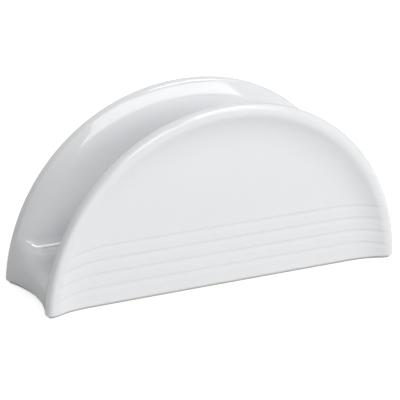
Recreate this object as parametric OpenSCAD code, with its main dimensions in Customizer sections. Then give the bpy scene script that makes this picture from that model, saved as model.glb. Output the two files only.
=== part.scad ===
// Half-moon napkin holder in glazed porcelain.
// Two dished walls stand back to back and are joined by a channel floor and two saddle ends.
// X runs along the width, +Y is the back, +Z is up, and the origin is on the table under the middle.

/* [Outline] */
// Diameter of the plate form whose upper half makes each wall
plate_d = 150; // [120:1:180]
// Height of the plate's centre below the table
centre_drop = 2.7; // [2:0.1:6]
// Squareness of the outline, where 2 is a true circle
outline_power = 2.05; // [2:0.01:2.2]

/* [Walls] */
// Thickness of the rounded rim
rim_t = 4.5; // [3.8:0.1:5.4]
// Distance between the middles of the two rims at the table
rim_gap = 36.7; // [34:0.1:44]
// Thickness of each wall at the inner edge of its dished border
wall_t = 4.7; // [4:0.1:6]
// Depth of the dished border below the rim
dish_depth = 2.2; // [1.4:0.1:3.2]
// Width of the dished border, from the outline to the shallow well
dish_w = 21.4; // [17:0.1:26]
// Width of the rim's crest, from the outline to the steepest part of the dish
shoulder_w = 5.2; // [4:0.1:7]
// Further depth of the well, from the dished border to the middle of the plate form
well_depth = 0.8; // [0:0.1:1.4]
// Width of the flared band inside each wall, from the outline to the straight part
flare_w = 10; // [7:0.5:16]
// How far the top of each wall leans in over the channel
lean = 0.3; // [0:0.1:1.5]
// Rounding of the lower edge
edge_r = 1; // [0.6:0.1:1.6]

/* [Grooves] */
// Number of grooves in each outer face
groove_n = 4; // [1:1:4]
// Plain band between the rounded edge and the ends of the lowest groove
groove_gap = 2.7; // [0.8:0.1:4]
// Distance from one groove to the next
groove_pitch = 5.35; // [4:0.05:5.6]
// Width of a groove
groove_w = 2.4; // [1.4:0.1:3]
// Depth of a groove
groove_depth = 0.3; // [0.1:0.05:0.6]
// How far the grooves bend down as they reach the rim
groove_sag = 2.2; // [0:0.1:2.4]

/* [Channel] */
// Height of the channel floor above the table
floor_h = 14; // [11:0.1:18]
// Thickness of the channel floor
floor_t = 5; // [4:0.1:6]
// Radius of the fillets between the floor and the walls
fillet_r = 4; // [3:0.1:6.5]
// How far the waist of each end stands in from the outline
waist_in = 3.8; // [2.8:0.1:5]
// Radius of the roll from each end over to the floor
roll_r = 6.5; // [4:0.1:8]
// How far the saddle of each end runs on past the roll before it is the plain channel
saddle_run = 1; // [0.5:0.1:6]

/* [Foot] */
// Height of the bare foot ring
foot_h = 0.6; // [0.4:0.1:1]
// How far the foot ring stands in from the glazed edge
foot_in = 0.4; // [0.2:0.1:0.8]
// Width of the foot ring at the ends
foot_w = 3; // [2:0.1:4]

/* [Hidden] */

glaze_colour = [0.87, 0.88, 0.89];
bisque_colour = [0.86, 0.84, 0.80];

plate_r = plate_d / 2;
rim_r = rim_t / 2;
rim_y = rim_gap / 2;
body_h = plate_r - centre_drop;
// The outer face where the border ends in the well, and the straight part of the inner face
outer_flat_y = rim_y + rim_r - dish_depth;
inner_flat_y = outer_flat_y - wall_t;
// Plane where a wall, with its fillet, is joined to the floor and the ends
seam_y = inner_flat_y - fillet_r;
waist_x = plate_r - waist_in;
roll_x = waist_x - roll_r;
roll_z = floor_h - roll_r;
recess_h = floor_h - floor_t;
recess_x = waist_x - edge_r - foot_in - foot_w;
// The end saddle has become the plain channel here, a saddle's length from the foot of the roll
channel_x = roll_x - saddle_run;
saddle_w = roll_r * PI / 2 + saddle_run;

// Slope of the outer face where the border meets the well, and its steepest slope, at the shoulder
well_slope = 2 * well_depth / (plate_r - dish_w);
outer_slope = (2 * dish_depth - well_slope * (dish_w - shoulder_w)) / (dish_w - rim_r);
// Slope of the inner face where it leaves the rim
inner_slope = 2 * (rim_y - rim_r - inner_flat_y) / (flare_w - rim_r);
rim_turn = 90 - atan(inner_slope);
rim_turn_d = rim_r * (1 - cos(rim_turn));
inner_flare = rim_y - rim_r * sin(rim_turn) - inner_flat_y;

// The outer face has level rows of points up to the hub row, and rays from the hub above it
groove_z = foot_h + edge_r + groove_gap + groove_sag + groove_w / 2;
groove_top = groove_z + (groove_n - 1) * groove_pitch + groove_w / 2;
hub_z = groove_top + groove_sag;
edge_shares = [0, 0.08, 0.35, 1];
groove_shares = [-1, -0.5, 0, 0.5, 1];
row_z = concat(
    [for (s = edge_shares) foot_h + s * edge_r],
    [for (g = [0:groove_n - 1], s = groove_shares) groove_z + g * groove_pitch + s * groove_w / 2],
    [hub_z]
);
// Share of the groove's depth on each row, and of the sag that the row follows
row_cut_shares = concat(
    [for (s = edge_shares) 0],
    [for (g = [0:groove_n - 1], s = groove_shares) (1 + cos(180 * s)) / 2],
    [0]
);
row_sag_shares = concat(
    [for (s = edge_shares) 0],
    [for (g = [0:groove_n - 1], s = groove_shares) 1],
    [0]
);
rays = 34;
rim_steps = 5;
well_shares = [0.8, 0.6, 0.4, 0.2];
crest_shares = [0.4, 1];
border_shares = [0.16, 0.36, 0.62, 1];
last_row = len(row_z) - 1;
// Stations across a wall, from the outline to the well: angles on the rim, then distances
rim_angles = [for (i = [0:rim_steps - 1]) 90 * i / (rim_steps - 1)];
stations = concat(
    [for (s = crest_shares) rim_r + s * (shoulder_w - rim_r)],
    [for (s = border_shares) shoulder_w + s * (dish_w - shoulder_w)]
);
half_cols = rim_steps + len(stations) + len(well_shares);
// Steps down an inner profile, and how many of them a whole inner side would take before the fillet
inner_count = 16;
inner_side_steps = 12;
contact_samples = 150;
saddle_steps = 4;

// Rounding of a corner of radius r, at a height t above it: how far the surface stands in
function round_in(r, t) = t < r ? r - sqrt(r * r - (r - t) * (r - t)) : 0;
function edge_in(z) = round_in(edge_r, z - foot_h);
function lean_in(z) = lean * z / body_h;

// Distance in from the outline at a point of the wall's plane
function depth_in(x, z) =
    plate_r - pow(pow(abs(x), outline_power) + pow(z + centre_drop, outline_power), 1 / outline_power);
// Half width at height z of the curve that lies d inside the outline
function half_w(z, d) =
    pow(max(0, pow(plate_r - d, outline_power) - pow(z + centre_drop, outline_power)), 1 / outline_power);
// Point of the same curve, from the hub row on the left (0) over the top to the right (1)
function start_angle(d) = asin(pow((hub_z + centre_drop) / (plate_r - d), outline_power / 2));
function arch_angle(d, share) = start_angle(d) + (180 - 2 * start_angle(d)) * share;
function arch_xz(d, share) = let (a = arch_angle(d, share), p = 2 / outline_power)
    [-sign(cos(a)) * (plate_r - d) * pow(abs(cos(a)), p), (plate_r - d) * pow(sin(a), p) - centre_drop];

// Outer face of a wall at a distance d in from the outline: crest, cove and well
function outer_y(d) =
    d < shoulder_w ? rim_y + rim_r - outer_slope * pow(d - rim_r, 2) / (2 * (shoulder_w - rim_r))
    : d < dish_w ? outer_flat_y + well_slope * (dish_w - d)
        + (outer_slope - well_slope) * pow(dish_w - d, 2) / (2 * (dish_w - shoulder_w))
    : outer_flat_y - well_depth + well_slope * pow(plate_r - d, 2) / (2 * (plate_r - dish_w));
function inner_y(d) =
    inner_flat_y + inner_flare * pow(max(0, flare_w - d) / (flare_w - rim_turn_d), 2);
// Grooves fade out over the rim
function groove_fade(d) = min(1, max(0, (d - rim_r) / (shoulder_w - rim_r)));
function sag_at(d) = groove_sag * pow((dish_w - d) / (dish_w - rim_r), 2);

// Stations of row i: at an angle a on the rim, at a distance d in from the outline, and in the well
function row_rim(i, a) = let (
    z = row_z[i] - row_sag_shares[i] * groove_sag,
    r = rim_r - edge_in(z)
) [half_w(z, rim_r - r * cos(a)), rim_y + r * sin(a) - lean_in(z), z];
function row_border(i, d) = let (
    z = row_z[i] - row_sag_shares[i] * sag_at(d),
    cut = groove_depth * row_cut_shares[i] * groove_fade(d)
) [half_w(z, d), outer_y(d) - edge_in(z) - cut - lean_in(z), z];
function row_well(i, share) = let (z = row_z[i], x = half_w(z, dish_w) * share)
    [x, outer_y(depth_in(x, z)) - edge_in(z) - groove_depth * row_cut_shares[i] - lean_in(z), z];
function flip_x(p) = [-p[0], p[1], p[2]];

// Half of a row, from the outline to the middle line
function half_row(i) = concat(
    [for (a = rim_angles) row_rim(i, a)],
    [for (d = stations) row_border(i, d)],
    [for (s = well_shares) row_well(i, s)]
);
function outer_row(i) = let (half = half_row(i)) concat(
    [for (p = half) flip_x(p)],
    [row_well(i, 0)],
    [for (k = [half_cols - 1:-1:0]) half[k]]
);
// Ray j of the upper zone, from the outline in towards the hub
function arch_point(d, share, y) = let (p = arch_xz(d, share)) [p[0], y - lean_in(p[1]), p[1]];
function outer_ray(j) = let (share = j / rays, rim = arch_xz(dish_w, share)) concat(
    [for (a = rim_angles) arch_point(rim_r * (1 - cos(a)), share, rim_y + rim_r * sin(a))],
    [for (d = stations) arch_point(d, share, outer_y(d))],
    [for (s = well_shares) let (x = rim[0] * s, z = hub_z + (rim[1] - hub_z) * s)
        [x, outer_y(depth_in(x, z)) - lean_in(z), z]]
);

// Points of the outline, from the left foot over the top to the right foot
left_edge = [for (i = [0:last_row]) let (p = row_rim(i, 0)) [-p[0], p[2]]];
arch_edge = [for (j = [1:rays - 1]) arch_xz(0, j / rays)];
right_edge = [for (i = [last_row:-1:0]) let (p = row_rim(i, 0)) [p[0], p[2]]];
edge = concat(left_edge, arch_edge, right_edge);
edge_count = len(edge);

// The waist is the middle line of the ends and the floor: the point of it nearest to an outline point
function nearest_waist(p) = let (qx = abs(p[0]) - roll_x, qz = p[1] - roll_z)
    qx <= 0 ? [abs(p[0]), floor_h]
    : qz <= 0 ? [waist_x, p[1]]
    : [roll_x, roll_z] + roll_r * [qx, qz] / norm([qx, qz]);
function waist_xz(p) = let (w = nearest_waist(p)) [sign(p[0]) * (w[0] - edge_in(w[1])), w[1]];
// Distance along the waist from the foot of the roll, and how much of the saddle is left there
function along_waist(p) = let (qx = abs(p[0]) - roll_x, qz = p[1] - roll_z)
    qx <= 0 ? roll_r * PI / 2 - qx : qz <= 0 ? 0 : roll_r * atan2(qz, qx) * PI / 180;
function saddle_left(p) = let (s = min(1, along_waist(p) / saddle_w)) (1 + cos(180 * s)) / 2;

waist = [for (p = edge) waist_xz(p)];
reach = [for (m = [0:edge_count - 1]) norm(edge[m] - waist[m])];
// Cosine between the way from the waist to the outline and the outline's own normal
function outward(p) = let (n = [sign(p[0]) * pow(abs(p[0]), outline_power - 1),
    pow(p[1] + centre_drop, outline_power - 1)]) n / norm(n);
slant = [for (m = [0:edge_count - 1]) outward(edge[m]) * (edge[m] - waist[m]) / reach[m]];

// Inner side of a wall over waist point m: u runs from the outline (0) round the rim and down to the waist (1).
// The result is [y, distance from the waist].
function rim_radius(m) = rim_r - edge_in(edge[m][1]);
function inner_rim(m, a) = let (r = rim_radius(m))
    [rim_y - r * sin(a) - lean_in(edge[m][1]), reach[m] - r * (1 - cos(a)) / slant[m]];
function inner_wall(m, h) = let (p = waist[m] + (edge[m] - waist[m]) * h / reach[m])
    [inner_y(depth_in(abs(p[0]) + edge_in(p[1]), p[1])) - lean_in(p[1]), h];
function inner_side(m, u) = u < 0.5 ? inner_rim(m, rim_turn * u * 2)
    : inner_wall(m, (reach[m] - rim_radius(m) * (1 - cos(rim_turn)) / slant[m]) * pow(2 - 2 * u, 2));

// The fillet is the largest ball that touches the waist at ball_y and fits under the wall
function ball_y(m) = seam_y * (1 - saddle_left(edge[m]));
function ball_size(m, p) = (pow(p[0] - ball_y(m), 2) + p[1] * p[1]) / (2 * p[1]);
function contacts(m) = [for (i = [1:contact_samples - 1]) ball_size(m, inner_side(m, i / contact_samples))];
// For each outline point: the ball's radius and where on the inner side it touches
fillets = [for (m = [0:edge_count - 1]) let (c = contacts(m), r = min(c))
    [r, [for (i = [1:contact_samples - 1]) if (c[i - 1] == r) i / contact_samples][0]]];
function fillet_rise(m, y) = let (r = fillets[m][0], t = max(0, abs(y) - ball_y(m))) r - sqrt(r * r - t * t);
function fillet_turn(m, p) = atan2(p[0] - ball_y(m), fillets[m][0] - p[1]);
function seam_turn(m) = asin(min(1, max(0, seam_y - ball_y(m)) / fillets[m][0]));
function on_waist(m, y, h) = let (p = waist[m] + (edge[m] - waist[m]) * h / reach[m]) [p[0], y, p[1]];

// Inner profile m without its first point, which is the outline's: down the wall, then along the fillet
function inner_profile(m) = let (
    r = fillets[m][0],
    touch = fillets[m][1],
    steps = max(2, round(inner_side_steps * touch)),
    a1 = fillet_turn(m, inner_side(m, touch)),
    a0 = seam_turn(m)
) concat(
    [for (i = [1:steps]) let (q = inner_side(m, touch * i / steps)) on_waist(m, q[0], q[1])],
    [for (i = [steps + 1:inner_count - 1]) let (a = a1 + (a0 - a1) * (i - steps) / (inner_count - steps))
        on_waist(m, ball_y(m) + r * sin(a), r * (1 - cos(a)))],
    [on_waist(m, seam_y, fillet_rise(m, seam_y))]
);

// Vertices of a wall: outer rows, outer rays, inner profiles, then the recess under its fillet
row_cols = 2 * half_cols + 1;
ray_base = (last_row + 1) * row_cols;
inner_base = ray_base + (rays - 1) * half_cols;
recess_base = inner_base + edge_count * inner_count;
function row_id(i, c) = i * row_cols + c;
function ray_id(j, k) = k == half_cols ? row_id(last_row, half_cols)
    : j == 0 ? row_id(last_row, k)
    : j == rays ? row_id(last_row, row_cols - 1 - k)
    : ray_base + (j - 1) * half_cols + k;
function edge_id(m) = m <= last_row ? row_id(m, 0)
    : m < last_row + rays ? ray_id(m - last_row, 0)
    : row_id(edge_count - 1 - m, row_cols - 1);
function inner_id(m, v) = v == 0 ? edge_id(m) : inner_base + m * inner_count + v - 1;
function recess_id(n) = recess_base + n;
function quad(a, b, c, d) = [[a, b, c], [a, c, d]];
function flat(lists) = [for (l = lists, e = l) e];

module wall() {
    points = concat(
        flat([for (i = [0:last_row]) outer_row(i)]),
        flat([for (j = [1:rays - 1]) outer_ray(j)]),
        flat([for (m = [0:edge_count - 1]) inner_profile(m)]),
        [for (y = [seam_y, inner_flat_y], x = [-recess_x, recess_x], z = [foot_h, recess_h]) [x, y, z]]
    );
    outer_faces = flat([for (i = [0:last_row - 1], c = [0:row_cols - 2])
        quad(row_id(i, c), row_id(i, c + 1), row_id(i + 1, c + 1), row_id(i + 1, c))]);
    upper_faces = flat([for (j = [0:rays - 1], k = [0:half_cols - 1])
        k == half_cols - 1 ? [[ray_id(j, k), ray_id(j, k + 1), ray_id(j + 1, k)]]
        : quad(ray_id(j, k), ray_id(j, k + 1), ray_id(j + 1, k + 1), ray_id(j + 1, k))]);
    inner_faces = flat([for (m = [0:edge_count - 2], v = [0:inner_count - 1])
        quad(inner_id(m, v), inner_id(m + 1, v), inner_id(m + 1, v + 1), inner_id(m, v + 1))]);
    // The flat faces round the recess, in halves that can be seen whole from a corner of it
    top = (edge_count - 1) / 2;
    seam_faces = [
        concat([recess_id(1), recess_id(0)], [for (m = [0:top]) inner_id(m, inner_count)]),
        [recess_id(1), inner_id(top, inner_count), recess_id(3)],
        concat([recess_id(3)], [for (m = [top:edge_count - 1]) inner_id(m, inner_count)], [recess_id(2)])
    ];
    land_faces = [
        concat([recess_id(4)], [for (c = [half_cols:-1:0]) row_id(0, c)],
            [for (v = [1:inner_count]) inner_id(0, v)], [recess_id(0)]),
        [recess_id(4), recess_id(6), row_id(0, half_cols)],
        concat([recess_id(6), recess_id(2)], [for (v = [inner_count:-1:0]) inner_id(edge_count - 1, v)],
            [for (c = [row_cols - 2:-1:half_cols]) row_id(0, c)])
    ];
    recess_faces = [for (f = [[4, 5, 7, 6], [1, 3, 7, 5], [0, 1, 5, 4], [2, 6, 7, 3]]) [for (n = f) recess_id(n)]];
    polyhedron(points, concat(outer_faces, upper_faces, inner_faces, seam_faces, land_faces, recess_faces));
}

module front_wall() {
    color(glaze_colour) mirror([0, 1, 0]) wall();
}

module rear_wall() {
    color(glaze_colour) wall();
}

module channel_floor() {
    color(glaze_colour)
        translate([-channel_x, -seam_y, recess_h])
            cube([2 * channel_x, 2 * seam_y, floor_t]);
}

// Solid skinned over a list of sections, each a closed loop with as many points as the others
module loft(sections) {
    n = len(sections[0]);
    last = len(sections) - 1;
    sides = flat([for (s = [0:last - 1], i = [0:n - 1])
        quad(s * n + i, (s + 1) * n + i, (s + 1) * n + (i + 1) % n, s * n + (i + 1) % n)]);
    caps = [[for (i = [0:n - 1]) i], [for (i = [n:-1:1]) last * n + i % n]];
    polyhedron(flat(sections), concat(sides, caps));
}

// Section of the left end at y: down the recess to the foot, up over the saddle and back under the floor
end_points = [for (m = [0:edge_count - 1]) if (waist[m][0] < -channel_x) m];
function end_section(y) = concat(
    [[-recess_x, y, recess_h], [-recess_x, y, foot_h]],
    [for (m = end_points) on_waist(m, y, fillet_rise(m, y))],
    [[-channel_x, y, floor_h], [-channel_x, y, recess_h]]
);

module end_saddle() {
    loft([for (i = [-saddle_steps:saddle_steps]) end_section(seam_y * i / saddle_steps)]);
}

module left_end() {
    color(glaze_colour) end_saddle();
}

module right_end() {
    color(glaze_colour) mirror([1, 0, 0]) end_saddle();
}

// The glazed lower edge seen from above: a quarter of it, and the closed loop
function plan(points) = [for (p = points) [p[0], p[1]]];
quarter = let (row = outer_row(0)) plan(concat(
    [for (c = [half_cols:-1:0]) row[c]],
    inner_profile(0),
    [for (i = [saddle_steps - 1:-1:0]) let (y = seam_y * i / saddle_steps) on_waist(0, y, fillet_rise(0, y))]
));
last_quarter = len(quarter) - 1;
foot_loop = concat(
    quarter,
    [for (i = [last_quarter - 1:-1:0]) [quarter[i][0], -quarter[i][1]]],
    [for (i = [1:last_quarter]) -quarter[i]],
    [for (i = [last_quarter - 1:-1:1]) [-quarter[i][0], quarter[i][1]]]
);
// The loop moved inwards by t
function step_in(loop, t) = let (n = len(loop)) [for (i = [0:n - 1])
    let (d = loop[(i + 1) % n] - loop[(i + n - 1) % n]) loop[i] + t * [-d[1], d[0]] / norm(d)];

module foot_ring() {
    color(bisque_colour) linear_extrude(foot_h) difference() {
        polygon(step_in(foot_loop, foot_in));
        square([2 * recess_x, 2 * inner_flat_y], center = true);
    }
}

front_wall();
rear_wall();
channel_floor();
left_end();
right_end();
foot_ring();
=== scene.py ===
"""Looks of the half-moon porcelain napkin holder: glazed walls, saddle ends, channel and foot."""

import math

import bpy
import numpy as np
from mathutils import Matrix


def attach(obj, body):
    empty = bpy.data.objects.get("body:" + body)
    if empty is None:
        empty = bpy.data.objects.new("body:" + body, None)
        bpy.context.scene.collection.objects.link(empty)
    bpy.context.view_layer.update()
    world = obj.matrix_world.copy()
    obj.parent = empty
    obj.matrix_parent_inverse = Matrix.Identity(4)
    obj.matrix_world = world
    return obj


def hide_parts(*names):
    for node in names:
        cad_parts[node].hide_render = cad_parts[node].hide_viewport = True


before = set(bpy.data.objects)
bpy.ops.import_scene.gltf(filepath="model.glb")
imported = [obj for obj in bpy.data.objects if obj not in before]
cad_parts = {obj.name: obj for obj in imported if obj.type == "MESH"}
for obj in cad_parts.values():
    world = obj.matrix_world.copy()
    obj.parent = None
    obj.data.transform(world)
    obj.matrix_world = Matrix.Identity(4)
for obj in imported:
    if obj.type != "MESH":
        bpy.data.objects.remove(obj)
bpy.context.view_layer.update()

# Sizes are in millimetres, in the frame of the part, and become metres in the meshes
MM = 0.001

# Outline of a wall: a superellipse round a centre below the table. The radius is 2 micrometres
# less than the solids' own, so that the smooth glaze lies inside their box.
PLATE_R = 74.998
CENTRE_DROP = 2.7
OUTLINE_POWER = 2.05

# Walls: the radius of the round rim and the y of its middle, the thickness at the inner edge of
# the dished border, the border's depth and width, the width of its crest, the further depth of the
# middle, the width of the flare inside, how far the top leans in, and the rounding of the lower
# edge
RIM_R = 2.25
RIM_Y = 18.35
WALL_T = 4.0
DISH_DEPTH = 2.9
DISH_W = 21.4
SHOULDER_W = 5.2
WELL_DEPTH = 0.1
FLARE_W = 10.0
LEAN = 0.3
EDGE_R = 1.0

# Grooves: how many, their pitch, width and depth, how far they bend down at the rim, how far the
# deepest line of one lies above its middle, by how much its lower flank is longer than half the
# width, and the height of the lowest one
GROOVE_N = 4
GROOVE_PITCH = 5.35
GROOVE_W = 2.4
GROOVE_DEPTH = 0.16
GROOVE_SAG = 2.2
GROOVE_RISE = 0.3
GROOVE_RUN = 1.1
GROOVE_Z = 7.7

# Channel: the height and thickness of its floor, the radius of the fillets beside it, how far the
# waist of an end stands in from the outline, the radius of the roll from the end to the floor, how
# far past the roll an end meets the channel floor, and how far past it the saddle has opened to
# the full channel
FLOOR_H = 14.0
FLOOR_T = 5.0
FILLET_R = 4.0
WAIST_IN = 3.8
ROLL_R = 6.5
SADDLE_RUN = 1.0
SADDLE_BLEND = 2.0

# Foot: the bare ring's height, how far it stands in from the glazed edge, its width at the ends
FOOT_H = 0.8
FOOT_IN = 0.4
FOOT_W = 3.0

# Sizes that follow from these
BODY_H = PLATE_R - CENTRE_DROP
OUTER_FLAT_Y = RIM_Y + RIM_R - DISH_DEPTH
INNER_FLAT_Y = OUTER_FLAT_Y - WALL_T
SEAM_Y = INNER_FLAT_Y - FILLET_R
WAIST_X = PLATE_R - WAIST_IN
ROLL_X = WAIST_X - ROLL_R
ROLL_Z = FLOOR_H - ROLL_R
ROLL_LENGTH = ROLL_R * math.pi / 2
RECESS_H = FLOOR_H - FLOOR_T
RECESS_X = WAIST_X - EDGE_R - FOOT_IN - FOOT_W
CHANNEL_X = ROLL_X - SADDLE_RUN
SADDLE_W = ROLL_LENGTH + SADDLE_BLEND
GROOVE_TOP = GROOVE_Z + (GROOVE_N - 1) * GROOVE_PITCH + GROOVE_W / 2
GROOVE_FOOT = GROOVE_Z - GROOVE_W / 2
HUB_Z = GROOVE_TOP + GROOVE_SAG
SAG_FOOT = FOOT_H + EDGE_R

# Slope of the outer face where the border meets the middle, and its steepest, at the shoulder
WELL_SLOPE = 2 * WELL_DEPTH / (PLATE_R - DISH_W)
OUTER_SLOPE = (3 * DISH_DEPTH - 2 * WELL_SLOPE * (DISH_W - SHOULDER_W)) / (DISH_W - RIM_R)
# Slope of the inner face where it leaves the rim, the angle and the width of the rim's round up to
# there, and what is left for the flare
INNER_SLOPE = 2 * (RIM_Y - RIM_R - INNER_FLAT_Y) / (FLARE_W - RIM_R)
RIM_TURN = math.pi / 2 - math.atan(INNER_SLOPE)
RIM_TURN_D = RIM_R * (1 - math.cos(RIM_TURN))
INNER_FLARE = RIM_Y - RIM_R * math.sin(RIM_TURN) - INNER_FLAT_Y

# Grid lines of the glazed surfaces, where those of the foot are crowded towards the lower edge in
# a band that ends FOOT_BAND above its rounding, and points tried for the ball of the fillet
FOOT_LINES = 14
FOOT_BAND = 0.6
LEVELS = 110
RAYS = 240
RIM_LINES = 13
BORDER_LINES = 26
WELL_LINES = 16
SIDE_LINES = 43
FILLET_LINES = 19
FLOOR_LINES = 17
BALL_SAMPLES = 600

# Points that fall on the same of this many steps in a millimetre are one point
WELD_STEPS = 1e5
# Anything nearer to the middle line than this counts as on its right
MIDDLE_X = 1e-6
# Small amounts that stand in for zero in an angle and in a quotient
SLIVER = 1e-9
TINY = 1e-12

# Glaze: colour and roughness where it is thin and where it has pooled, how many pools and pits of
# orange peel cross a metre, how far the noise of each is refined, the share of the peel in the
# height, and the height itself in metres
GLAZE_IOR = 1.56
GLAZE_THIN = (0.853, 0.863, 0.882, 1)
GLAZE_POOLED = (0.87, 0.88, 0.893, 1)
ROUGHNESS_THIN = 0.045
ROUGHNESS_POOLED = 0.015
POOL_SCALE = 40
POOL_DETAIL = 2
PEEL_SCALE = 500
PEEL_DETAIL = 1
PEEL_SHARE = 0.06
GLAZE_HEIGHT = 0.0002

# Bisque: the two colours of its grain, its roughness, how many grains cross a metre, and the
# grain's strength and height in metres
BISQUE_DARK = (0.68, 0.65, 0.59, 1)
BISQUE_LIGHT = (0.75, 0.72, 0.67, 1)
BISQUE_ROUGHNESS = 0.75
GRAIN_SCALE = 2500
GRAIN_STRENGTH = 0.4
GRAIN_HEIGHT = 0.00003

# Camera of the photograph: its angles from the front, from the table and round its own axis, in
# radians, its distance and target, its lens and the middle of its picture in pixels, its sensor in
# millimetres, and how near and how far it sees in metres
CAMERA_AZIMUTH = -0.48932
CAMERA_ELEVATION = 0.35844
CAMERA_DISTANCE = 782.29
CAMERA_ROLL = 0.02546
CAMERA_TARGET = (-8.4078, 0.0, 29.1029)
FOCAL_PIXELS = 2051.7
PICTURE_CENTRE = (185.771, 201.784)
PICTURE_SIZE = 400
SENSOR_WIDTH = 36
CLIP_NEAR = 0.01
CLIP_FAR = 50

# Table top under the holder: half its side in metres, its finish, and the light that only the
# camera sees on it, which makes it white there
TABLE_HALF = 4.0
TABLE_COLOUR = (0.75, 0.75, 0.75, 1)
TABLE_ROUGHNESS = 0.9
TABLE_WHITE = 0.7

# Lamps: azimuth to the right of the front and elevation in degrees, distance, width and height in
# metres, and how bright their faces are, where 1 is white
SOFTBOXES = {
    "window": (18, 22, 1.5, 1.18, 0.53, 3.4),
    "window top": (-8, 38, 1.5, 0.63, 0.42, 3.8),
    "side": (68, 48, 1.5, 0.54, 0.42, 1.8),
    "key": (40, 54, 1.5, 0.75, 0.42, 9.8),
}
LAMP_TARGET = (0, 0, 0.03)

# Pale backdrop behind the holder: its direction, how much it and the rest of the studio light the
# holder, and the cosines to its direction where the white that the glaze mirrors begins and is full
BACKDROP_WAY = (-0.25, 0.92, 0.3)
BACKDROP_GLOW = 1.6
STUDIO_GLOW = 0.04
MIRROR_EDGE = 0.6
MIRROR_FULL = 0.95


def rounding(radius, height):
    """Quarter round: at a height over the foot it stands in by r - sqrt(r^2 - (r - height)^2),
    and by 0 above r."""
    left = np.clip(radius - height, 0, radius)
    return radius - np.sqrt(radius**2 - left**2)


def half_width(z, d):
    """Superellipse: |x|^n + (z + drop)^n = (R - d)^n, solved for x."""
    inside = (PLATE_R - d) ** OUTLINE_POWER - (z + CENTRE_DROP) ** OUTLINE_POWER
    return np.maximum(0, inside) ** (1 / OUTLINE_POWER)


def depth_inside(x, z):
    """Distance d in from the outline: R minus the n-norm of (x, z + drop)."""
    total = abs(x) ** OUTLINE_POWER + (z + CENTRE_DROP) ** OUTLINE_POWER
    return PLATE_R - total ** (1 / OUTLINE_POWER)


def arch(d, share):
    """Point x, z of the superellipse d inside the outline, where the share goes from 0 at the hub's
    height on the left over the top to 1 on the right: (R - d) times the cosine and the sine of an
    angle, each to the power 2/n."""
    power = 2 / OUTLINE_POWER
    start = np.arcsin(((HUB_Z + CENTRE_DROP) / (PLATE_R - d)) ** (OUTLINE_POWER / 2))
    angle = start + (math.pi - 2 * start) * share
    x = -np.sign(np.cos(angle)) * (PLATE_R - d) * abs(np.cos(angle)) ** power
    return x, (PLATE_R - d) * np.sin(angle) ** power - CENTRE_DROP


def outer_face(d):
    """Dish seen in section: two cubics, over the crest and down the cove to DISH_W, whose slope
    grows and falls off with the square of the way, and a parabola over the shallow well to the
    middle."""
    crest = RIM_Y + RIM_R - OUTER_SLOPE * (d - RIM_R) ** 3 / (3 * (SHOULDER_W - RIM_R) ** 2)
    left = np.maximum(0, DISH_W - d)
    fall = (OUTER_SLOPE - WELL_SLOPE) * left**3 / (3 * (DISH_W - SHOULDER_W) ** 2)
    cove = OUTER_FLAT_Y + WELL_SLOPE * left + fall
    rise = WELL_SLOPE * (PLATE_R - d) ** 2 / (2 * (PLATE_R - DISH_W))
    well = OUTER_FLAT_Y - WELL_DEPTH + rise
    return np.where(d < SHOULDER_W, crest, np.where(d < DISH_W, cove, well))


def inner_face(d):
    """Inner face in section: straight, and within FLARE_W of the outline a parabola that flares
    out to meet the round of the rim."""
    way = np.maximum(0, FLARE_W - d) / (FLARE_W - RIM_TURN_D)
    return INNER_FLAT_Y + INNER_FLARE * way**2


def lean_in(z):
    """The walls lean in over the channel in proportion to height."""
    return LEAN * z / BODY_H


def groove_cut(level):
    """Depth of the grooves: across each of them a cosine wave, short from its upper edge down to
    the deepest line and long from there to its lower edge."""
    index = np.clip(np.round((level - GROOVE_Z) / GROOVE_PITCH), 0, GROOVE_N - 1)
    up = level - GROOVE_Z - index * GROOVE_PITCH - GROOVE_RISE
    flank = np.where(up > 0, up / (GROOVE_W / 2 - GROOVE_RISE), up / (GROOVE_W / 2 + GROOVE_RUN))
    return GROOVE_DEPTH * (1 + np.cos(math.pi * np.clip(flank, -1, 1))) / 2


def groove_levels():
    """Levels of the lower zone, close together at the foot, with the share of the grooves' sag
    that each follows."""
    foot = FOOT_H + (SAG_FOOT + FOOT_BAND - FOOT_H) * np.linspace(0, 1, FOOT_LINES) ** 2
    level = np.concatenate([foot, np.linspace(foot[-1], HUB_Z, LEVELS)[1:]])
    rising = np.clip((level - SAG_FOOT) / (GROOVE_FOOT - SAG_FOOT), 0, 1)
    falling = np.clip((HUB_Z - level) / (HUB_Z - GROOVE_TOP), 0, 1)
    return level, np.minimum(rising, falling)


def outer_rows():
    """Lower zone of the outer face: level rows from the left rim to the right. On the rim a row
    goes round a quarter circle, on the border it follows the dish and sinks by the sag times the
    square of the way to the rim, and the well is crossed straight."""
    level, sag = (a[:, None] for a in groove_levels())
    angle = np.linspace(0, math.pi / 2, RIM_LINES)
    z = level - sag * GROOVE_SAG + 0 * angle
    r = RIM_R - rounding(EDGE_R, z - FOOT_H)
    x = half_width(z, RIM_R - r * np.cos(angle))
    rim = np.stack([x, RIM_Y + r * np.sin(angle) - lean_in(z), z], -1)
    d = np.linspace(RIM_R, DISH_W, BORDER_LINES + 1)[1:]
    way = (DISH_W - d) / (DISH_W - RIM_R)
    z = level - sag * GROOVE_SAG * way**2
    cut = groove_cut(level) * np.clip((d - RIM_R) / (SHOULDER_W - RIM_R), 0, 1)
    y = outer_face(d) - rounding(EDGE_R, z - FOOT_H) - cut - lean_in(z)
    border = np.stack([half_width(z, d), y, z], -1)
    x = border[:, -1:, 0] * np.linspace(1, 0, WELL_LINES + 1)[1:]
    z = level + 0 * x
    edge = rounding(EDGE_R, z - FOOT_H)
    y = outer_face(depth_inside(x, z)) - edge - groove_cut(level) - lean_in(z)
    well = np.stack([x, y, z], -1)
    right = np.concatenate([rim, border, well], 1)
    return np.concatenate([right * [-1, 1, 1], right[:, -2::-1]], 1)


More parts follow.
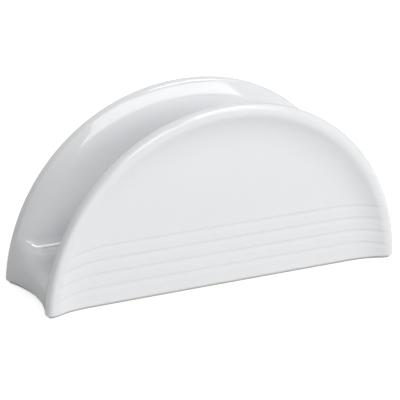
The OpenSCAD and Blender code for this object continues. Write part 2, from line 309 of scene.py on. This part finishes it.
def outer_rays():
    """Upper zone of the outer face: rays that cross the rim, a quarter circle, and the dish at
    right angles to the outline, then run over the well to the hub."""
    share = np.linspace(0, 1, RAYS + 1)[:, None]
    angle = np.linspace(0, math.pi / 2, RIM_LINES)
    d = np.linspace(RIM_R, DISH_W, BORDER_LINES + 1)[1:]
    inside = np.concatenate([RIM_R * (1 - np.cos(angle)), d])
    y = np.concatenate([RIM_Y + RIM_R * np.sin(angle), outer_face(d)])
    x, z = arch(inside, share)
    part = np.linspace(1, 0, WELL_LINES + 1)[1:]
    x_well = x[:, -1:] * part
    z_well = HUB_Z + (z[:, -1:] - HUB_Z) * part
    y_well = outer_face(depth_inside(x_well, z_well)) - lean_in(z_well)
    dish = np.stack([x, y - lean_in(z), z], -1)
    well = np.stack([x_well, y_well, z_well], -1)
    return np.concatenate([dish, well], 1)


class Waist:
    """The inner side of a wall, worked out over the waist: for each point of the outline, the
    nearest point of the waist line (up the end, round the roll and along the floor) and the way
    from there to the outline."""

    def __init__(self, outline):
        self.outline = outline
        x, z = abs(outline[:, 0]), outline[:, 1]
        side = np.sign(outline[:, 0])
        across, up = x - ROLL_X, z - ROLL_Z
        turn = np.arctan2(np.maximum(up, 0), np.maximum(across, SLIVER))
        on_floor, on_end = across <= 0, (across > 0) & (up <= 0)
        roll_x, roll_z = ROLL_X + ROLL_R * np.cos(turn), ROLL_Z + ROLL_R * np.sin(turn)
        base_x = np.where(on_floor, x, np.where(on_end, WAIST_X, roll_x))
        base_z = np.where(on_floor, FLOOR_H, np.where(on_end, z, roll_z))
        along = np.where(on_floor, ROLL_LENGTH - across, np.where(on_end, 0, ROLL_R * turn))
        self.base = np.stack([side * (base_x - rounding(EDGE_R, base_z - FOOT_H)), base_z], -1)
        self.way = outline - self.base
        self.reach = np.linalg.norm(self.way, axis=1)[:, None]
        power = OUTLINE_POWER - 1
        normal = np.stack([side * x**power, (z + CENTRE_DROP) ** power], -1)
        normal /= np.linalg.norm(normal, axis=1)[:, None]
        self.slant = (normal * self.way).sum(1)[:, None] / self.reach
        saddle = (1 + np.cos(math.pi * np.minimum(1, along / SADDLE_W))) / 2
        self.ball_y = SEAM_Y * (1 - saddle)[:, None]
        self.rim = RIM_R - rounding(EDGE_R, outline[:, 1:] - FOOT_H)
        self.fit_ball()

    def place(self, y, h):
        """Points at a distance h from the waist towards the outline, and at y."""
        spot = self.base[:, None] + (self.way / self.reach)[:, None] * h[..., None]
        return np.stack([spot[..., 0], y + 0 * h, spot[..., 1]], -1)

    def side(self, u):
        """y and distance from the waist at u: round the rim up to 0.5, then down the inner face,
        with the square of the way that is left, to the waist at 1."""
        angle = RIM_TURN * np.minimum(u, 0.5) * 2
        y_rim = RIM_Y - self.rim * np.sin(angle) - lean_in(self.outline[:, 1:])
        h_rim = self.reach - self.rim * (1 - np.cos(angle)) / self.slant
        top = self.reach - self.rim * (1 - math.cos(RIM_TURN)) / self.slant
        h = top * np.clip(2 - 2 * u, 0, 1) ** 2
        spot = self.place(0, h)
        x, z = spot[..., 0], spot[..., 2]
        y = inner_face(depth_inside(abs(x) + rounding(EDGE_R, z - FOOT_H), z)) - lean_in(z)
        return np.where(u < 0.5, y_rim, y), np.where(u < 0.5, h_rim, h)

    def fit_ball(self):
        """The fillet is the largest ball that rests on the waist at ball_y and fits under the
        inner side: its radius is the least of ((y - ball_y)^2 + h^2) / 2h over points of the side,
        refined on a parabola."""
        u = np.linspace(0, 1, BALL_SAMPLES + 1)[1:-1]
        y, h = self.side(u[None])
        size = ((y - self.ball_y) ** 2 + h * h) / (2 * h)
        row = np.arange(len(size))
        least = np.clip(size.argmin(1), 1, len(u) - 2)
        before, here, after = size[row, least - 1], size[row, least], size[row, least + 1]
        step = np.clip((before - after) / (2 * (before - 2 * here + after) + TINY), -1, 1)
        self.touch = (u[least] + step * (u[1] - u[0]))[:, None]
        self.ball = (here - (before - after) * step / 4)[:, None]

    def inner_side(self):
        """Grid of outline point by profile: down the inner side to the ball, then round it to the
        seam."""
        y_side, h_side = self.side(self.touch * np.linspace(0, 1, SIDE_LINES + 1)[None])
        turn_side = np.arctan2(y_side[:, -1:] - self.ball_y, self.ball - h_side[:, -1:])
        turn_seam = np.arcsin(np.clip((SEAM_Y - self.ball_y) / self.ball, 0, 1))
        part = np.linspace(0, 1, FILLET_LINES + 1)[None, 1:]
        turn = turn_side + (turn_seam - turn_side) * part
        y = np.hstack([y_side, self.ball_y + self.ball * np.sin(turn)])
        h = np.hstack([h_side, self.ball * (1 - np.cos(turn))])
        return self.place(y, h)

    def strip(self):
        """Grid of outline point by y between the seams: the waist line, raised past ball_y by
        r - sqrt(r^2 - (y - ball_y)^2), the round of the ball."""
        y = np.linspace(-SEAM_Y, SEAM_Y, FLOOR_LINES)[None]
        past = np.maximum(0, abs(y) - self.ball_y)
        return self.place(y, self.ball - np.sqrt(np.maximum(0, self.ball**2 - past**2)))

    def underside(self, y):
        """Line under the waist at y: up the end of the recess, and along its roof."""
        x, z = self.base[:, 0], self.base[:, 1]
        return np.stack([np.clip(x, -RECESS_X, RECESS_X), y + 0 * x, np.minimum(z, RECESS_H)], -1)


def between(first, second):
    """Ruled grid between two lines of as many points."""
    return np.stack([first, second])


def flipped(grid):
    """The same grid with its faces turned over."""
    return grid[:, ::-1]


def mirrored(grid):
    """The same grid on the front wall, with its faces turned to point outwards again."""
    return flipped(grid * [1, -1, 1])


def quads(grid):
    """Corner numbers of the grid's squares, and the grid's points as a list."""
    corner = np.arange(grid.shape[0] * grid.shape[1]).reshape(grid.shape[:2])
    faces = np.stack([corner[:-1, :-1], corner[1:, :-1], corner[1:, 1:], corner[:-1, 1:]], -1)
    return faces.reshape(-1, 4), grid.reshape(-1, 3)


def weld(points):
    """Points that coincide become one: the kept points, and each point's number among them."""
    key = np.round(points * WELD_STEPS).astype(np.int64)
    _, first, number = np.unique(key, axis=0, return_index=True, return_inverse=True)
    return points[first], number.reshape(-1)


class Skin:
    """A closed piece made of glazed grids, which shade smoothly, and plain ones, which shade
    flat. Where a square has shrunk to a triangle it keeps three corners."""

    def __init__(self, name, glazed, plain):
        self.name = name
        points, faces, smooth, count = [], [], [], 0
        for grid, is_glazed in [(g, True) for g in glazed] + [(g, False) for g in plain]:
            squares, dots = quads(grid)
            faces.append(squares + count)
            smooth.append(np.full(len(squares), is_glazed))
            points.append(dots)
            count += len(dots)
        self.points, number = weld(np.concatenate(points))
        faces = number[np.concatenate(faces)]
        smooth = np.concatenate(smooth)
        corner = faces != np.roll(faces, 1, 1)
        whole = corner.sum(1) >= 3
        self.faces, self.corner, self.smooth = faces[whole], corner[whole], smooth[whole]

    def face_normals(self):
        """Normals of the faces, as long as twice their area: the cross product of the diagonals."""
        a, b, c, d = (self.points[self.faces[:, i]] for i in range(4))
        return np.cross(c - a, d - b)


def shared_normals(skins):
    """Vertex normals of the glaze, summed over all the pieces, so that a seam between two of them
    doesn't show."""
    starts, spots, count = [], [], 0
    for skin in skins:
        starts.append(count)
        spots.append(skin.points)
        count += len(skin.points)
    _, number = weld(np.concatenate(spots))
    total = np.zeros((number.max() + 1, 3))
    for skin, start in zip(skins, starts):
        normals = skin.face_normals()[skin.smooth]
        for i in range(4):
            np.add.at(total, number[start + skin.faces[skin.smooth][:, i]], normals)
    total /= np.maximum(TINY, np.linalg.norm(total, axis=1))[:, None]
    return [total[number[start:start + len(skin.points)]] for skin, start in zip(skins, starts)]


def build(skin, normals, material):
    """Puts a skin into a mesh object, with its glaze normals, finish, body and the CAD node that
    it stands for."""
    mesh = bpy.data.meshes.new(skin.name)
    corners = skin.corner.sum(1)
    loops = skin.faces[skin.corner]
    starts = np.concatenate([[0], np.cumsum(corners)[:-1]])
    mesh.vertices.add(len(skin.points))
    mesh.vertices.foreach_set("co", (skin.points * MM).ravel())
    mesh.loops.add(len(loops))
    mesh.loops.foreach_set("vertex_index", loops.astype(np.int32))
    mesh.polygons.add(len(corners))
    mesh.polygons.foreach_set("loop_start", starts.astype(np.int32))
    mesh.polygons.foreach_set("use_smooth", skin.smooth)
    mesh.update(calc_edges=True)
    mesh.validate()
    if normals is not None:
        flat = skin.face_normals()
        flat /= np.maximum(TINY, np.linalg.norm(flat, axis=1))[:, None]
        smooth = np.repeat(skin.smooth, corners)[:, None]
        loop_normals = np.where(smooth, normals[loops], np.repeat(flat, corners, 0))
        mesh.normals_split_custom_set(loop_normals.tolist())
    mesh.materials.append(material)
    piece = bpy.data.objects.new(skin.name, mesh)
    bpy.context.scene.collection.objects.link(piece)
    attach(piece, "root")
    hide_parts(skin.name)


def recess_corner(x, y):
    """Lower corners of the recess, the left one for points left of the middle."""
    corner = np.where(x < -MIDDLE_X, -RECESS_X, RECESS_X)
    return np.stack([corner, y + 0 * x, FOOT_H + 0 * x], -1)


def wall_grids(rows, rays, waist):
    """Glazed and plain grids of the rear wall: outer face, rim and inner side, then the seam
    plane, the recess under the fillet and the land that stands on the foot ring."""
    inner = waist.inner_side()
    seam = inner[:, -1]
    roof_seam, roof_wall = waist.underside(SEAM_Y), waist.underside(INNER_FLAT_Y)
    edge = np.concatenate([inner[0, ::-1], rows[0, 1:], inner[-1, 1:]])
    near_seam = edge[:, 1] < (SEAM_Y + INNER_FLAT_Y) / 2
    lip = recess_corner(edge[:, 0], np.where(near_seam, SEAM_Y, INNER_FLAT_Y))
    foot_wall = recess_corner(roof_wall[:, 0], INNER_FLAT_Y)
    glazed = [rows, rays, flipped(inner)]
    plain = [between(seam, roof_seam), between(roof_seam, roof_wall),
             between(roof_wall, foot_wall), between(lip, edge)]
    return glazed, plain


def strip_grids(waist, first, last):
    """Glazed and plain grids of a stretch of the strip between the seams, an end or the channel
    floor, from one outline point to another."""
    top = waist.strip()[first:last + 1]
    y = np.linspace(-SEAM_Y, SEAM_Y, FLOOR_LINES)
    under = np.stack([waist.underside(t)[first:last + 1] for t in y], 1)
    plain = [flipped(under), between(top[:, 0], under[:, 0]),
             flipped(between(top[:, -1], under[:, -1])),
             flipped(between(top[0], under[0])), between(top[-1], under[-1])]
    return [top], plain


def foot_grids(rows, inner, strip):
    """Plain grids of the foot ring: the glazed lower edge seen from above, stepped in by FOOT_IN,
    round the recess."""
    rear = np.concatenate([inner[0, ::-1], rows[0, 1:], inner[-1, 1:]])[:, :2]
    right_end = strip[-1, -2:0:-1, :2]
    loop = np.concatenate([rear, right_end, rear[::-1] * [1, -1], right_end[::-1] * [-1, 1]])
    along = np.roll(loop, -1, 0) - np.roll(loop, 1, 0)
    inwards = np.stack([along[:, 1], -along[:, 0]], -1) / np.linalg.norm(along, axis=1)[:, None]
    outer = loop + FOOT_IN * inwards
    opening = np.clip(outer, [-RECESS_X, -INNER_FLAT_Y], [RECESS_X, INNER_FLAT_Y])
    section = ((outer, 0), (outer, FOOT_H), (opening, FOOT_H), (opening, 0), (outer, 0))
    ring = np.stack([np.column_stack([line, np.full(len(line), z)]) for line, z in section])
    return [np.concatenate([ring, ring[:, :1]], 1)]


def glaze_group():
    """Slow unevenness of a dipped glaze, from two noises: a mask for its pooling, the roughness
    that goes with it, and a height for its waves and fine orange peel."""
    group = bpy.data.node_groups.new("dipped_glaze", "ShaderNodeTree")
    socket = group.interface.new_socket
    socket("Pool scale", in_out="INPUT", socket_type="NodeSocketFloat")
    socket("Peel scale", in_out="INPUT", socket_type="NodeSocketFloat")
    socket("Pooling", in_out="OUTPUT", socket_type="NodeSocketFloat")
    socket("Polish", in_out="OUTPUT", socket_type="NodeSocketFloat")
    socket("Height", in_out="OUTPUT", socket_type="NodeSocketFloat")
    add, link = group.nodes.new, group.links.new
    entry, result = add("NodeGroupInput"), add("NodeGroupOutput")
    place = add("ShaderNodeTexCoord")
    pool, peel = add("ShaderNodeTexNoise"), add("ShaderNodeTexNoise")
    pool.inputs["Detail"].default_value = POOL_DETAIL
    peel.inputs["Detail"].default_value = PEEL_DETAIL
    link(place.outputs["Object"], pool.inputs["Vector"])
    link(place.outputs["Object"], peel.inputs["Vector"])
    link(entry.outputs["Pool scale"], pool.inputs["Scale"])
    link(entry.outputs["Peel scale"], peel.inputs["Scale"])
    link(pool.outputs["Fac"], result.inputs["Pooling"])
    polish = add("ShaderNodeMapRange")
    polish.inputs["To Min"].default_value = ROUGHNESS_THIN
    polish.inputs["To Max"].default_value = ROUGHNESS_POOLED
    link(pool.outputs["Fac"], polish.inputs["Value"])
    link(polish.outputs["Result"], result.inputs["Polish"])
    height = add("ShaderNodeMix")
    height.inputs["Factor"].default_value = PEEL_SHARE
    link(pool.outputs["Fac"], height.inputs["A"])
    link(peel.outputs["Fac"], height.inputs["B"])
    link(height.outputs["Result"], result.inputs["Height"])
    return group


def glaze_material():
    """Clear gloss glaze over white porcelain."""
    material = bpy.data.materials.new("glaze")
    material.use_nodes = True
    tree = material.node_tree
    add, link = tree.nodes.new, tree.links.new
    shader = tree.nodes["Principled BSDF"]
    shader.inputs["IOR"].default_value = GLAZE_IOR
    surface = add("ShaderNodeGroup")
    surface.node_tree = glaze_group()
    surface.inputs["Pool scale"].default_value = POOL_SCALE
    surface.inputs["Peel scale"].default_value = PEEL_SCALE
    colour = add("ShaderNodeMix")
    colour.data_type = "RGBA"
    colour.inputs["A"].default_value = GLAZE_THIN
    colour.inputs["B"].default_value = GLAZE_POOLED
    bump = add("ShaderNodeBump")
    bump.inputs["Strength"].default_value = 1
    bump.inputs["Distance"].default_value = GLAZE_HEIGHT
    link(surface.outputs["Pooling"], colour.inputs["Factor"])
    link(colour.outputs["Result"], shader.inputs["Base Color"])
    link(surface.outputs["Polish"], shader.inputs["Roughness"])
    link(surface.outputs["Height"], bump.inputs["Height"])
    link(bump.outputs["Normal"], shader.inputs["Normal"])
    return material


def bisque_material():
    """Bare fired body of the ground foot ring, with a fine grain in its colour and height."""
    material = bpy.data.materials.new("bisque")
    material.use_nodes = True
    tree = material.node_tree
    add, link = tree.nodes.new, tree.links.new
    shader = tree.nodes["Principled BSDF"]
    shader.inputs["Roughness"].default_value = BISQUE_ROUGHNESS
    place = add("ShaderNodeTexCoord")
    grain = add("ShaderNodeTexNoise")
    grain.inputs["Scale"].default_value = GRAIN_SCALE
    colour = add("ShaderNodeMix")
    colour.data_type = "RGBA"
    colour.inputs["A"].default_value = BISQUE_DARK
    colour.inputs["B"].default_value = BISQUE_LIGHT
    bump = add("ShaderNodeBump")
    bump.inputs["Strength"].default_value = GRAIN_STRENGTH
    bump.inputs["Distance"].default_value = GRAIN_HEIGHT
    link(place.outputs["Object"], grain.inputs["Vector"])
    link(grain.outputs["Fac"], colour.inputs["Factor"])
    link(colour.outputs["Result"], shader.inputs["Base Color"])
    link(grain.outputs["Fac"], bump.inputs["Height"])
    link(bump.outputs["Normal"], shader.inputs["Normal"])
    return material


def make_holder():
    """All six pieces. The outline goes from the left foot over the top to the right foot, and the
    floor piece takes its part of the strip from CHANNEL_X on the left to CHANNEL_X on the right."""
    rows, rays = outer_rows(), outer_rays()
    outline = np.concatenate([rows[:, 0], rays[1:-1, 0], rows[::-1, -1]])[:, [0, 2]]
    waist = Waist(outline)
    glazed, plain = wall_grids(rows, rays, waist)
    last = len(outline) - 1
    left = int(np.argmax(waist.base[:, 0] > -CHANNEL_X))
    right = last - left
    skins = [
        Skin("rear_wall", glazed, plain),
        Skin("front_wall", [mirrored(g) for g in glazed], [mirrored(g) for g in plain]),
        Skin("left_end", *strip_grids(waist, 0, left)),
        Skin("channel_floor", *strip_grids(waist, left, right)),
        Skin("right_end", *strip_grids(waist, right, last)),
    ]
    glaze = glaze_material()
    for skin, normals in zip(skins, shared_normals(skins)):
        build(skin, normals, glaze)
    foot = Skin("foot_ring", [], foot_grids(rows, waist.inner_side(), waist.strip()))
    build(foot, None, bisque_material())


def pose(right, up, back, spot):
    """Matrix that stands an object at a spot, with its own axes to the right, up and back."""
    matrix = np.eye(4)
    matrix[:3] = np.stack([right, up, back, spot], 1)
    return Matrix(matrix)


def make_camera():
    """A long lens, a little above the table and to the left of the front, rolled by a small
    angle: its right and up axes are turned in the picture's plane."""
    data = bpy.data.cameras.new("camera")
    data.sensor_width = SENSOR_WIDTH
    data.lens = FOCAL_PIXELS * SENSOR_WIDTH / PICTURE_SIZE
    data.shift_x = (PICTURE_SIZE / 2 - PICTURE_CENTRE[0]) / PICTURE_SIZE
    data.shift_y = (PICTURE_CENTRE[1] - PICTURE_SIZE / 2) / PICTURE_SIZE
    data.clip_start = CLIP_NEAR
    data.clip_end = CLIP_FAR
    camera = bpy.data.objects.new("camera", data)
    bpy.context.scene.collection.objects.link(camera)
    flat = math.cos(CAMERA_ELEVATION)
    back = np.array([math.sin(CAMERA_AZIMUTH) * flat, -math.cos(CAMERA_AZIMUTH) * flat,
                     math.sin(CAMERA_ELEVATION)])
    right = np.cross(-back, [0, 0, 1])
    right /= np.linalg.norm(right)
    up = np.cross(right, -back)
    turn, tilt = math.cos(CAMERA_ROLL), math.sin(CAMERA_ROLL)
    right, up = turn * right + tilt * up, turn * up - tilt * right
    spot = (np.array(CAMERA_TARGET) + back * CAMERA_DISTANCE) * MM
    camera.matrix_world = pose(right, up, back, spot)
    bpy.context.scene.camera = camera


def softbox(name, spot, size, power):
    """An oblong lamp at a spot, level and turned to the holder."""
    data = bpy.data.lights.new(name, "AREA")
    data.shape = "RECTANGLE"
    data.size, data.size_y = size
    data.energy = power
    lamp = bpy.data.objects.new(name, data)
    bpy.context.scene.collection.objects.link(lamp)
    back = np.array(spot) - LAMP_TARGET
    back /= np.linalg.norm(back)
    right = np.cross([0, 0, 1], back)
    right /= np.linalg.norm(right)
    lamp.matrix_world = pose(right, np.cross(back, right), back, spot)


def make_lamps():
    """The soft lamps round the holder. A lamp's power is its brightness times pi times its area."""
    for name, (azimuth, elevation, distance, width, height, brightness) in SOFTBOXES.items():
        turn, rise = math.radians(azimuth), math.radians(elevation)
        flat = distance * math.cos(rise)
        spot = (flat * math.sin(turn), -flat * math.cos(turn), distance * math.sin(rise))
        softbox(name, spot, (width, height), brightness * math.pi * width * height)


def math_node(tree, operation, *values):
    """Output of a Math node whose inputs are numbers or other nodes' outputs."""
    node = tree.nodes.new("ShaderNodeMath")
    node.operation = operation
    for socket, value in zip(node.inputs, values):
        if isinstance(value, bpy.types.NodeSocket):
            tree.links.new(value, socket)
        else:
            socket.default_value = value
    return node.outputs["Value"]


def make_floor():
    """A plain table top under the holder: it is pale, keeps the shadow, and the camera alone sees
    it lit up to white."""
    half = TABLE_HALF
    corners = [(-half, -half, 0), (half, -half, 0), (half, half, 0), (-half, half, 0)]
    mesh = bpy.data.meshes.new("floor")
    mesh.from_pydata(corners, [], [(0, 1, 2, 3)])
    material = bpy.data.materials.new("floor")
    material.use_nodes = True
    tree = material.node_tree
    add, link = tree.nodes.new, tree.links.new
    shader = tree.nodes["Principled BSDF"]
    shader.inputs["Base Color"].default_value = TABLE_COLOUR
    shader.inputs["Roughness"].default_value = TABLE_ROUGHNESS
    shader.inputs["Specular IOR Level"].default_value = 0
    seen = add("ShaderNodeLightPath")
    glow = add("ShaderNodeEmission")
    both = add("ShaderNodeAddShader")
    link(math_node(tree, "MULTIPLY", seen.outputs["Is Camera Ray"], TABLE_WHITE),
         glow.inputs["Strength"])
    link(shader.outputs["BSDF"], both.inputs[0])
    link(glow.outputs["Emission"], both.inputs[1])
    link(both.outputs["Shader"], tree.nodes["Material Output"].inputs["Surface"])
    mesh.materials.append(material)
    floor = bpy.data.objects.new("floor", mesh)
    bpy.context.scene.collection.objects.link(floor)


def make_world():
    """White to the camera and where the glaze mirrors the backdrop; to the holder a soft light
    from behind: the cosine to the backdrop's direction, squared, over a dim rest."""
    world = bpy.data.worlds.new("studio")
    bpy.context.scene.world = world
    world.use_nodes = True
    tree = world.node_tree
    tree.nodes.clear()
    add, link = tree.nodes.new, tree.links.new
    seen = add("ShaderNodeLightPath").outputs
    way = add("ShaderNodeTexCoord").outputs["Generated"]
    towards = add("ShaderNodeVectorMath")
    towards.operation = "DOT_PRODUCT"
    towards.inputs[1].default_value = BACKDROP_WAY
    link(way, towards.inputs[0])
    cosine = towards.outputs["Value"]
    lobe = math_node(tree, "POWER", math_node(tree, "MAXIMUM", cosine, 0), 2)
    glow = math_node(tree, "MULTIPLY_ADD", lobe, BACKDROP_GLOW, STUDIO_GLOW)
    edge = add("ShaderNodeMapRange")
    edge.interpolation_type = "SMOOTHSTEP"
    edge.inputs["From Min"].default_value = MIRROR_EDGE
    edge.inputs["From Max"].default_value = MIRROR_FULL
    link(cosine, edge.inputs["Value"])
    glossy = math_node(tree, "MAXIMUM", seen["Is Glossy Ray"], seen["Is Transmission Ray"])
    mirror = math_node(tree, "MULTIPLY", glossy, edge.outputs["Result"])
    light = add("ShaderNodeMix")
    link(math_node(tree, "MAXIMUM", seen["Is Camera Ray"], mirror), light.inputs["Factor"])
    link(glow, light.inputs["A"])
    light.inputs["B"].default_value = 1
    back = add("ShaderNodeBackground")
    out = add("ShaderNodeOutputWorld")
    link(light.outputs["Result"], back.inputs["Strength"])
    link(back.outputs["Background"], out.inputs["Surface"])


make_camera()
make_holder()
make_floor()
make_world()
make_lamps()

bpy.context.scene.view_settings.view_transform = "Standard"
